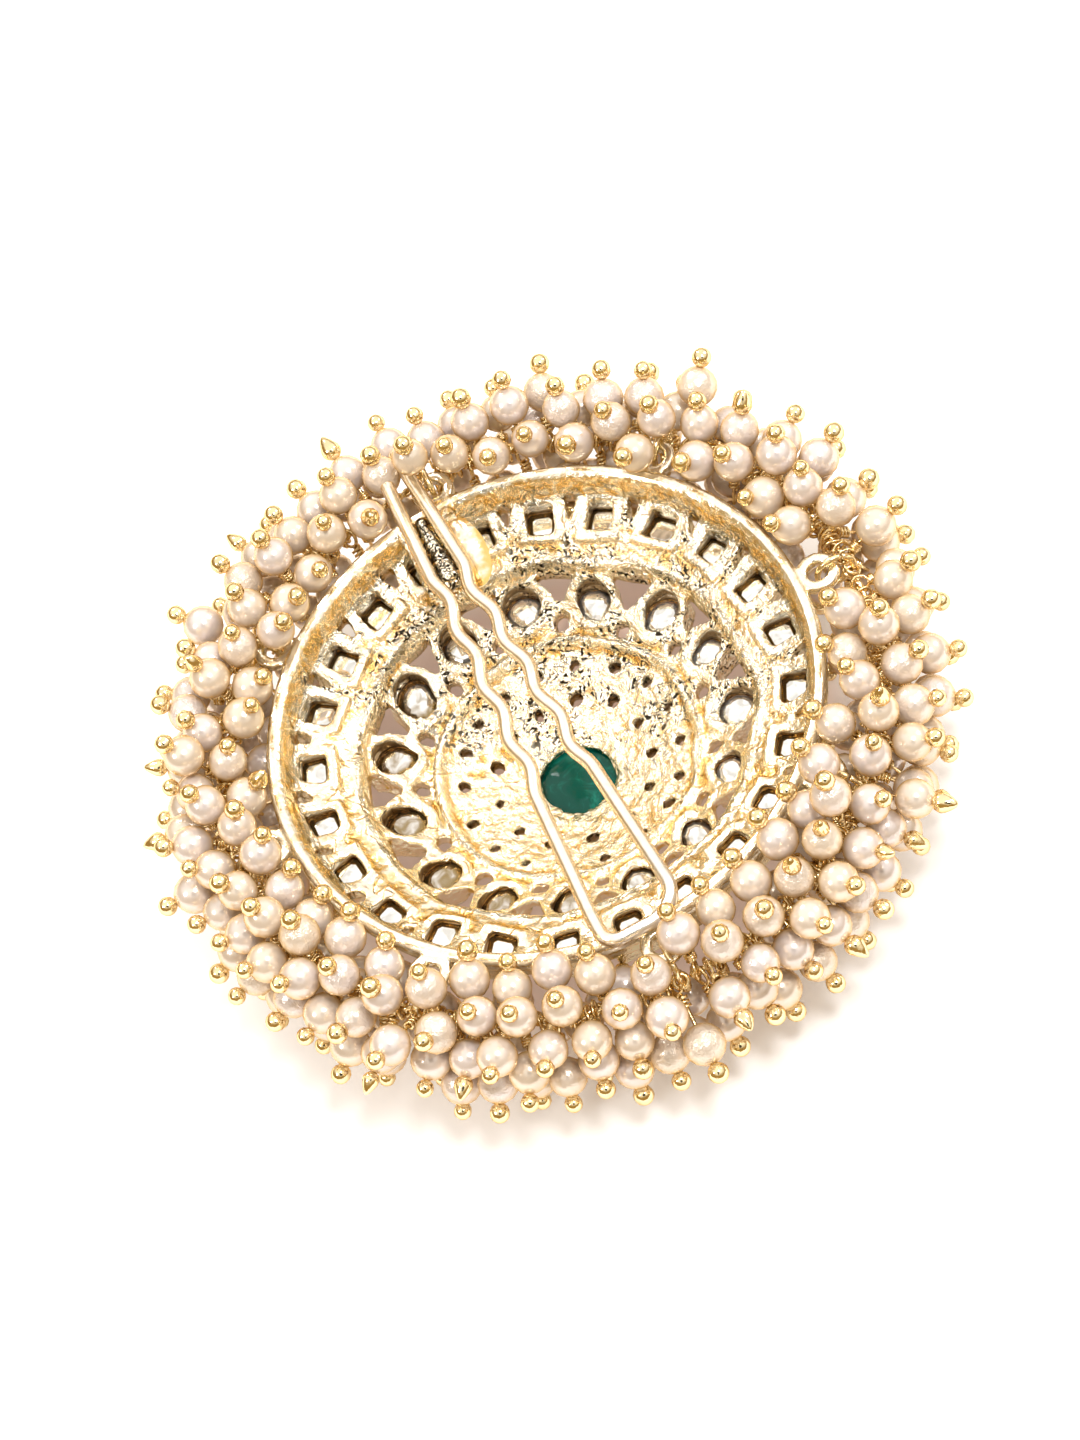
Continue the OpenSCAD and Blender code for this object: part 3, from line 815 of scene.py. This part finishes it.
def pin_path(radius, step):
    """The wire's axis: down the left prong, round two quarter circles and up the right prong."""
    bend = BEND_Y + radius
    y = np.arange(TIP_Y - radius, WIDE_Y, -step)
    left, right = CORNERS
    a, b = np.radians(np.linspace(180, 270, 9)), np.radians(np.linspace(270, 360, 13))
    rows = [
        np.stack([-half_gap(y), y], 1),
        np.stack([-HALF_GAP[0] + left * (1 + np.cos(a)), bend + left * (1 + np.sin(a))], 1),
        np.stack([HALF_GAP[0] - right * (1 - np.cos(b)), bend + right * (1 + np.sin(b))], 1),
        np.stack([half_gap(y), y], 1)[::-1],
    ]
    flat = np.concatenate(rows)
    return np.concatenate([flat, np.zeros((len(flat), 1))], 1)


def rounded_ends(path, radius):
    """Adds three steps at each end, whose radii follow a quarter circle."""
    angles = np.radians([8, 30, 60])
    first, last = unit(path[0] - path[1]), unit(path[-1] - path[-2])
    head = path[0] + first * radius * np.cos(angles)[:, None]
    tail = path[-1] + last * radius * np.cos(angles[::-1])[:, None]
    end = radius * np.sin(angles)
    radii = np.concatenate([end, np.full(len(path), radius), end[::-1]])
    return np.concatenate([head, path, tail]), radii


def make_hair_pin(sizes):
    """One round wire along the pin's path, worn within 8 mm of the bend's right corner."""
    radius = sizes.wire / 2
    path, radii = rounded_ends(pin_path(radius, 0.3), radius)
    points, faces = sweep(from_pin_frame(path + [0, 0, PIN_Z])[None], radii[None], 20)
    local = in_pin_frame(points)
    corner = np.hypot(local[:, 0] - 3.2, local[:, 1] + 25.5)
    worn = np.clip(1.3 - corner / 6, 0, 1)
    pin = piece("hair_pin_wire", points, faces, "pin_wire", pin_finish(sizes), worn=worn)
    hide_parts("hair_pin")


# Fringe

CARRIER_Z = BACK_H - 2.8
LUG_AT_R, LUG_R, LUGS = 28.1, 2.0, 8
# a jump ring, the radius of its wire, and the place of its middle
JUMP_R, JUMP_WIRE, JUMP_AT_R, JUMP_Z = 1.8, 0.3, 29.73, BACK_H - 1.56
AIR = 0.1
# how often the pearls push each other apart
ROUNDS = 60


def spot(carrier, u, v, rho):
    """Places round the carrier wire, from the angle round the dome, the angle round the wire and the
    distance from it."""
    v = np.radians(v)
    return around(carrier + rho * np.cos(v), np.radians(u), CARRIER_Z + rho * np.sin(v))


def round_wire(carrier, points):
    """The three numbers that spot() takes, for each point."""
    r, u = polar(points)
    out, up = r - carrier, points[:, 2] - CARRIER_Z
    return u, np.degrees(np.arctan2(up, out)), np.hypot(out, up)


def out_of(points, nearest, gap):
    """Points nearer than gap to their nearest place move straight away from it, up to the gap."""
    away = points - nearest
    d = np.linalg.norm(away, axis=1, keepdims=True)
    return np.where((d > gap) | (d < 1e-3), points, nearest + away * gap / np.maximum(d, 1e-9))


def out_of_boxes(points, gap, *boxes):
    """Points nearer than gap to a box, given by two corners, move up to the gap, box after box."""
    for low, high in boxes:
        points = out_of(points, np.clip(points, low, high), gap)
    return points


def clear_lugs(points, gap):
    """Out of the boxes round each lug, its jump ring and the eyes on it, in the nearest lug's frame."""
    a = np.round(polar(points)[1] * LUGS / 360) * 360 / LUGS
    c, s = np.cos(np.radians(a)), np.sin(np.radians(a))
    q = np.stack([points[:, 0] * c + points[:, 1] * s, points[:, 1] * c - points[:, 0] * s, points[:, 2]], 1)
    q = out_of_boxes(
        q, gap,
        ((26.4, -LUG_R, BACK_H - 1.3), (LUG_AT_R + LUG_R, LUG_R, BACK_H - 0.3)),
        ((JUMP_AT_R - JUMP_R, -JUMP_WIRE, JUMP_Z - JUMP_R), (JUMP_AT_R + JUMP_R, JUMP_WIRE, JUMP_Z + JUMP_R)),
        ((30.05, -0.9, CARRIER_Z - 1.1), (32.05, 0.9, CARRIER_Z + 0.9)),
    )
    return np.stack([q[:, 0] * c - q[:, 1] * s, q[:, 1] * c + q[:, 0] * s, q[:, 2]], 1)


def clear_pin(points, gap):
    """Out of the boxes round the ends of the hair pin, in its own frame."""
    return from_pin_frame(out_of_boxes(
        in_pin_frame(points), gap,
        ((-4.5, BEND_Y, PIN_Z - 0.7), (4.5, -18, PIN_Z + 0.7)),
        ((-2.2, 18, PIN_Z - 0.7), (2.2, TIP_Y, PIN_Z + 0.7)),
    ))


def clear_rim(points, gap):
    """Out of the rim, which is a round bead here."""
    bead_at_r, bead_r = 25.9, 0.8
    bead = around(bead_at_r, np.arctan2(points[:, 1], points[:, 0]), BACK_H - 0.7)
    return out_of(points, bead, gap + bead_r)


def settled(sizes):
    """The pearls' places. Seeds follow a golden-ratio sequence round the wire, then in each round they
    push their neighbours apart, return towards their distance from the wire, which is more for those
    that hang below it, and leave the metal."""
    k = np.arange(sizes.seeds)
    nearest, farthest = 3.4, 4.9
    aim = nearest + (farthest - nearest) * frac(k * BRONZE)
    u = 360 * (k + 0.9 * frac(k * SILVER)) / sizes.seeds
    # angles round the wire: the lowest under the fringe, and the highest, over the rim, by place
    bottom, top = -140, 128 + 14 * (0.5 - 0.5 * np.sin(np.radians(u)))
    v = bottom + (top - bottom) * frac(k * GOLDEN + 0.06 * frac(k * BRONZE))
    places = spot(sizes.carrier, u, v, aim)
    gap = sizes.pearl / 2 + AIR
    for _ in range(ROUNDS):
        places = places + pushes(places, sizes.pearl + 2 * AIR)
        u, v, rho = round_wire(sizes.carrier, places)
        hang = 3.9 * np.maximum(0, -np.sin(np.radians(v))) ** 4
        places = spot(sizes.carrier, u, v, rho + 0.3 * (aim + hang - rho))
        places = clear_pin(clear_lugs(clear_rim(places, gap), gap), gap)
    return places


def pushes(places, apart):
    """Half of what each pair of near neighbours overlaps by, away from each other."""
    total = np.zeros_like(places)
    for s in (*range(-9, 0), *range(1, 10)):
        away = places - np.roll(places, -s, axis=0)
        d = np.linalg.norm(away, axis=1, keepdims=True)
        total += np.where(apart > d, away / d * (apart - d) * 0.5, 0)
    return total


def hung(sizes, places):
    """Each pearl's foot, which is the nearest place on the carrier wire's circle, and its distance and
    its way from there."""
    feet = spot(sizes.carrier, polar(places)[1], 0, 0)
    reach = np.linalg.norm(places - feet, axis=1)
    return feet, reach, (places - feet) / reach[:, None]


def is_clear(points, gap):
    """True where no metal is nearer than the gap."""
    cleared = [clear(points, gap) for clear in (clear_rim, clear_lugs, clear_pin)]
    return sum(np.linalg.norm(to - points, axis=1) for to in cleared) < 1e-3


def fitting(sizes, places):
    """True where a pearl is clear of the metal and of the pearls before it, its foot is on a carrier
    wire, and its ball doesn't sink into another pearl."""
    feet, _, ways = hung(sizes, places)
    pearl, ball = sizes.pearl / 2, sizes.ball / 2
    balls = places + ways * (pearl + ball)
    share = polar(feet)[1] * LUGS / 360
    from_lug = sizes.carrier * np.sin(np.radians(np.abs(share - np.round(share)) * 360 / LUGS))
    ok = from_lug > 1.3
    ok &= is_clear(places, pearl + AIR / 2) & is_clear(balls, ball * 0.8)
    for s in (*range(-12, 0), *range(1, 13)):
        other = np.roll(places, -s, axis=0)
        if s < 0:
            ok &= np.linalg.norm(places - other, axis=1) >= 1.97 * pearl
        ok &= np.linalg.norm(balls - other, axis=1) >= pearl + ball * 0.6
    return ok


def clear_wall(points, gap):
    """Out of the dome's outer wall, a profile of radii by depth, straight away from the axis."""
    r, _ = polar(points)
    depth = BACK_H - points[:, 2:] + [-1.0, 0.5]
    wall = np.interp(depth, (0, 3.4, 6.4, 7.0), (26.7, 26.3, 24.4, 20.6)).max(axis=1) + gap
    k = np.where(points[:, 2] > BACK_H - 1.2, 1, np.maximum(wall / r, 1))
    return points * np.stack([k, k, np.ones_like(k)], 1)


def crowded(sizes, places):
    """The places with more pearls in the gaps between them. Candidates follow a sequence in the three
    numbers of spot(), and those are taken that overlap no pearl by more than a twentieth. None lies
    over the lug that shows on the right. Then all of them push each other apart, and leave the metal."""
    u, v, _ = round_wire(sizes.carrier, places)
    places = places[(np.abs(u) > 6) | (v < 30)]
    k = np.arange(9000)
    u, v, rho = 360 * frac(k * GOLDEN), 150 - 285 * frac(k * SILVER), 3.3 + 2.9 * frac(k * BRONZE)
    more = spot(sizes.carrier, u, v, rho)
    gap = sizes.pearl / 2 + AIR / 2

    def off_metal(points):
        return clear_wall(clear_pin(clear_lugs(clear_rim(points, gap), gap), gap), gap)

    u, v, _ = round_wire(sizes.carrier, more)
    moved = np.linalg.norm(off_metal(more) - more, axis=1)
    for place in more[(moved < 0.4) & ((np.abs(u) > 6.5) | (v < 30))]:
        if np.linalg.norm(places - place, axis=1).min() > 0.95 * sizes.pearl:
            places = np.vstack([places, place])
    for _ in range(ROUNDS):
        away = places[:, None] - places[None]
        d = np.linalg.norm(away, axis=2)
        over = np.where((d < sizes.pearl) & (d > 0), sizes.pearl - d, 0) * 0.35
        places = places + np.sum(away / np.maximum(d, 1e-6)[..., None] * over[..., None], axis=1)
        u, v, rho = round_wire(sizes.carrier, places)
        places = off_metal(spot(sizes.carrier, u, v, np.clip(rho, 3.2, 6.4)))
    return places


class Dangles:
    """Where each pearl hangs: its place, its foot on the carrier wire, its distance and its way."""

    def __init__(self, sizes):
        places = settled(sizes)
        self.places = crowded(sizes, places[fitting(sizes, places)])
        self.count = len(self.places)
        self.feet, self.reach, self.ways = hung(sizes, self.places)
        self.rng = np.random.default_rng(4)
        self.size = sizes.pearl / 2 * self.rng.uniform(0.95, 1.02, self.count)


def make_pearls(sizes, d):
    """Balls that are a little out of round: each is up to 3% wider or narrower than it is long, and its
    points move out and in by dents of 1.7 mm."""
    profile = globe_profile(d.count, d.size, d.size * d.rng.uniform(0.97, 1.03, d.count), 9)
    points, faces = turned_solids(d.places, d.ways, profile, 14)
    each = len(points) // d.count
    dents = cloud(points, 1.7, 21) * np.repeat(d.rng.uniform(0.01, 0.05, d.count), each)
    points = points + unit(points - np.repeat(d.places, each, axis=0)) * (dents[:, None] - 0.02)
    tone = np.repeat(d.rng.uniform(0, 1, d.count), each)
    wrinkled = np.repeat(np.clip(d.rng.uniform(-1.2, 1, d.count), 0, 1), each)
    pearls = piece("bead_pearls", points, faces, "pearl", pearl_finish(sizes), tone=tone, wrinkled=wrinkled)
    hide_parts("pearls")


def make_balls(sizes, d):
    """Ball ends. About one in eight is drawn out to a drop: its outer rows lie further along the way
    and are narrower, by a power of their height."""
    size = sizes.ball / 2 * d.rng.uniform(0.88, 1.1, d.count)
    profile = globe_profile(d.count, size, size, 8)
    drop = np.where(d.rng.uniform(0, 1, d.count) < 0.13, 0.55, 0)[:, None]
    height = np.clip(profile[:, :, 0] / size[:, None], 0, 1)
    profile[:, :, 0] += drop * height ** 2
    profile[:, :, 1] *= 1 - drop * height * 0.55
    places = d.places + d.ways * (d.size + size - 0.12)[:, None]
    points, faces = turned_solids(places, d.ways, profile, 10)
    piece("ball_ends", points, faces, "gold_wire", wire_finish("ball ends", sizes.balls, 0.07))


def make_wires(sizes, d):
    """Head pins: each wire comes out of its pearl, goes round the carrier wire in a loop, and winds
    back up its own stem in about three turns."""
    radius = sizes.wire / 2 * 0.9
    eye_steps, coil_steps, coil_turns = 14, 27, 3.2
    tangent = unit(np.cross([0, 0, 1.0], d.feet * [1, 1, 0]))
    side = unit(np.cross(tangent, d.ways))
    third = np.cross(side, d.ways)
    lean = np.radians(d.rng.uniform(-35, 35, d.count))[:, None]
    side, third = side * np.cos(lean) + third * np.sin(lean), third * np.cos(lean) - side * np.sin(lean)
    loop = d.rng.uniform(0.8, 1.05, d.count)[:, None]
    eye = d.feet + d.ways * (loop - 0.65)

    def local(along, across, over):
        return (
            eye[:, None] + d.ways[:, None] * along[..., None]
            + side[:, None] * across[..., None] + third[:, None] * over[..., None]
        )

    stem = np.linspace(1, 0, 4)[None] * (d.reach[:, None] - loop) + loop
    round_eye = np.radians(np.linspace(20, 335, eye_steps))[None]
    turns = np.radians(np.linspace(0, coil_turns * 360, coil_steps))[None]
    room = np.clip(d.reach[:, None] - sizes.pearl / 2 - loop * 1.9, 0.35, 1.35)
    wound = np.linspace(0, 1, coil_steps)[None] * room
    coil_r = sizes.wire * d.rng.uniform(0.95, 1.15, d.count)[:, None]
    path = np.concatenate([
        local(stem, 0 * stem, 0 * stem),
        local(loop * np.cos(round_eye), loop * np.sin(round_eye), 0.12 * np.sin(round_eye / 2) * loop),
        local(loop + 0.15 + wound, coil_r * np.sin(turns - 0.4), coil_r * np.cos(turns - 0.4)),
    ], axis=1)
    points, faces = sweep(path, radius, 4)
    finish = wire_finish("head pins", sizes.wires, 0.16)
    wires = piece("head_pin_wires", points, faces, "gold_wire", finish)
    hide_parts(*(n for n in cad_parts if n.startswith("head_pins")))


def at_lugs(paths):
    """Each path once for every lug, turned to it from the first."""
    return np.array([turned(path, k * 360 / LUGS) for path in paths for k in range(LUGS)])


def make_carrier(sizes):
    """The carrier wires, one between each two lugs, and the eyes at their ends. A wire is two strands
    whose centres go round the circle at 0.22 mm from it, at an angle that grows with the way. An eye
    is a circle of wire that stands square to the jump ring, 9.5 degrees before or after -45."""
    from_lug, strand_at_r, twists, eye_r = 1.05, 0.22, 96, 0.65
    start = np.degrees(np.arcsin(from_lug / sizes.carrier))
    way = np.linspace(start, 360 / LUGS - start, 90)
    strands = [spot(sizes.carrier, way, way * twists + phase, strand_at_r) for phase in (0, 180)]
    eyes, a = [], round_steps(20)[:, None]
    for side in (-1, 1):
        at = np.radians(-45 + 9.5 * side)
        out = np.array([np.cos(at), 0, np.sin(at)])
        centre = np.array([JUMP_AT_R, 0, JUMP_Z]) + JUMP_R * out
        eyes.append(centre + eye_r * (np.cos(a) * out + np.sin(a) * [0, 1, 0]))
    points, faces = sweep(at_lugs(strands), 0.23, 6)
    more, more_faces = sweep(at_lugs(eyes), 0.22, 8, closed=True)
    faces = np.concatenate([faces, more_faces + len(points)])
    finish = wire_finish("carrier", sizes.wires, 0.18)
    piece("carrier_wires", np.concatenate([points, more]), faces, "gold_wire", finish)


def make_jump_rings(sizes):
    """Open rings through the lugs, each a circle of wire that stops short of closing by 6 degrees."""
    a = np.radians(np.linspace(63, 417, 49))
    ring = np.stack([JUMP_AT_R + JUMP_R * np.cos(a), 0 * a, JUMP_Z + JUMP_R * np.sin(a)], 1)
    points, faces = sweep(at_lugs([ring]), JUMP_WIRE, 12)
    links = piece("links", points, faces, "gold_wire", wire_finish("links", sizes.balls, 0.14))
    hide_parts("jump_rings")


# Stage

def lamp(name, place, size, power):
    """A round soft box that faces the origin."""
    light = bpy.data.lights.new(name, "AREA")
    light.shape = "DISK"
    light.size = size
    light.energy = power
    obj = placed(name, light)
    obj.location = place
    obj.rotation_euler = (-Vector(place)).to_track_quat("-Z", "Y").to_euler()


def set_camera():
    """The camera stands 505.7 mm from the rim's centre, turned 26.8 degrees about its view. The rim's
    centre falls 2.2 pixels right of and 12.8 above the middle of a 1080 by 1440 picture."""
    up, roll, distance = np.radians(CAMERA_UP), np.radians(26.8), 505.7
    # in pixels: the focal length, and the picture's height; in millimetres, the sensor's height
    focal, picture, sensor = 5522, 1440, 36
    view = np.array([0, np.cos(up), -np.sin(up)])
    right, top = np.array([1.0, 0, 0]), np.array([0, np.sin(up), np.cos(up)])
    right, top = right * np.cos(roll) - top * np.sin(roll), right * np.sin(roll) + top * np.cos(roll)
    place = np.array([0, 0, BACK_H]) - view * distance - (right * 2.2 + top * 12.8) * distance / focal
    data = bpy.data.cameras.new("camera")
    data.sensor_fit = "VERTICAL"
    data.sensor_height = sensor
    data.lens = focal * sensor / picture
    data.clip_start, data.clip_end = 0.01, 10
    camera = placed("camera", data)
    rows = np.stack([right, top, -view, place * MM], 1).tolist()
    camera.matrix_world = Matrix((*rows, (0, 0, 0, 1)))
    bpy.context.scene.camera = camera


def set_world():
    """A white light tent, amber low down, with a dark hole where the lens looks in, so that metal shows
    its shape. Straight views see a pale backdrop instead."""
    white, amber = (1.8, 1.77, 1.71), (0.58, 0.37, 0.13)
    hole, backdrop = (0.04, 0.03, 0.02), (1.3, 1.28, 1.26)
    world = bpy.data.worlds.new("tent")
    bpy.context.scene.world = world
    world.use_nodes = True
    g = Graph(world.node_tree)
    place = g.node("ShaderNodeTexCoord", out="Generated")
    up = np.radians(CAMERA_UP)

    def towards(way):
        return g.node("ShaderNodeVectorMath", {"operation": "DOT_PRODUCT"}, {0: place, 1: way}, "Value")

    tent = g.mix(towards((0.2, 0.15, 0.97)).ramp(0.25, 0.75), amber, white)
    tent = g.mix(towards((0, -np.cos(up), np.sin(up))).ramp(0.96, 0.985), tent, hole)
    straight = g.node("ShaderNodeLightPath", out="Is Camera Ray")
    g.feed(g.tree.nodes["Background"], {"Color": g.mix(straight, tent, backdrop), "Strength": 0.72})


def make_stage():
    """A pale floor and four soft boxes, the key near the camera."""
    sides, radius = 64, 2000
    mesh = mesh_of("floor", around(radius, round_steps(sides), 0), np.arange(sides)[None])
    mesh.materials.append(floor_finish())
    floor = placed("floor", mesh)
    for name, place, power in (
        ("key", (0.16, -0.22, 0.7), 2.4), ("left", (-0.5, -0.1, 0.5), 1.4),
        ("right", (0.55, 0.1, 0.45), 1.0), ("back", (-0.1, 0.6, 0.5), 1.2),
    ):
        lamp(name, place, 0.16, power)
    set_camera()
    set_world()
    bpy.context.scene.view_settings.view_transform = "Standard"


# Operators and panel

class BUNPIN_OT_stage(bpy.types.Operator):
    """Sets the floor, the soft lights and the camera"""
    bl_idname = "bunpin.stage"
    bl_label = "Stage"

    def execute(self, context):
        make_stage()
        return {"FINISHED"}


class BUNPIN_OT_casting(bpy.types.Operator):
    """Makes the rough cast dome with its lugs and tab"""
    bl_idname = "bunpin.casting"
    bl_label = "Casting"

    def execute(self, context):
        make_casting(context.scene.bun_cast)
        make_leaf(context.scene.bun_cast)
        return {"FINISHED"}


class BUNPIN_OT_stones(bpy.types.Operator):
    """Cuts the clear stones and finishes the green one"""
    bl_idname = "bunpin.stones"
    bl_label = "Stones"

    def execute(self, context):
        make_stones(context.scene.bun_cast)
        return {"FINISHED"}


class BUNPIN_OT_hair_pin(bpy.types.Operator):
    """Bends the crimped hair pin"""
    bl_idname = "bunpin.hair_pin"
    bl_label = "Hair pin"

    def execute(self, context):
        make_hair_pin(context.scene.bun_pin)
        return {"FINISHED"}


class BUNPIN_OT_fringe(bpy.types.Operator):
    """Hangs the pearls on their ball-ended, looped head pins"""
    bl_idname = "bunpin.fringe"
    bl_label = "Fringe"

    def execute(self, context):
        sizes = context.scene.bun_fringe
        dangles = Dangles(sizes)
        for make in (make_pearls, make_balls, make_wires):
            make(sizes, dangles)
        return {"FINISHED"}


class BUNPIN_OT_links(bpy.types.Operator):
    """Makes the carrier wire and the jump rings that hold it to the lugs"""
    bl_idname = "bunpin.links"
    bl_label = "Carrier and rings"

    def execute(self, context):
        make_carrier(context.scene.bun_fringe)
        make_jump_rings(context.scene.bun_fringe)
        return {"FINISHED"}


OPERATORS = (
    BUNPIN_OT_stage, BUNPIN_OT_casting, BUNPIN_OT_stones,
    BUNPIN_OT_hair_pin, BUNPIN_OT_fringe, BUNPIN_OT_links,
)


class BUNPIN_PT_panel(bpy.types.Panel):
    """Sizes, colours and the pieces in order"""
    bl_label = "Hair bun pin"
    bl_idname = "BUNPIN_PT_panel"
    bl_space_type = "VIEW_3D"
    bl_region_type = "UI"
    bl_category = "Bun pin"

    def draw(self, context):
        for group in (context.scene.bun_cast, context.scene.bun_fringe, context.scene.bun_pin):
            box = self.layout.box()
            for name in group.bl_rna.properties.keys():
                if name not in ("rna_type", "name"):
                    box.prop(group, name)
        for operator in OPERATORS:
            self.layout.operator(operator.bl_idname)


CLASSES = (CastSizes, FringeSizes, PinSizes, *OPERATORS, BUNPIN_PT_panel)


def register():
    for item in CLASSES:
        bpy.utils.register_class(item)
    bpy.types.Scene.bun_cast = PointerProperty(type=CastSizes)
    bpy.types.Scene.bun_fringe = PointerProperty(type=FringeSizes)
    bpy.types.Scene.bun_pin = PointerProperty(type=PinSizes)


def unregister():
    for name in ("bun_cast", "bun_fringe", "bun_pin"):
        delattr(bpy.types.Scene, name)
    for item in reversed(CLASSES):
        bpy.utils.unregister_class(item)


def main():
    register()
    for operator in (
        bpy.ops.bunpin.stage, bpy.ops.bunpin.casting, bpy.ops.bunpin.stones,
        bpy.ops.bunpin.hair_pin, bpy.ops.bunpin.fringe, bpy.ops.bunpin.links,
    ):
        operator()


if __name__ == "__main__":
    main()
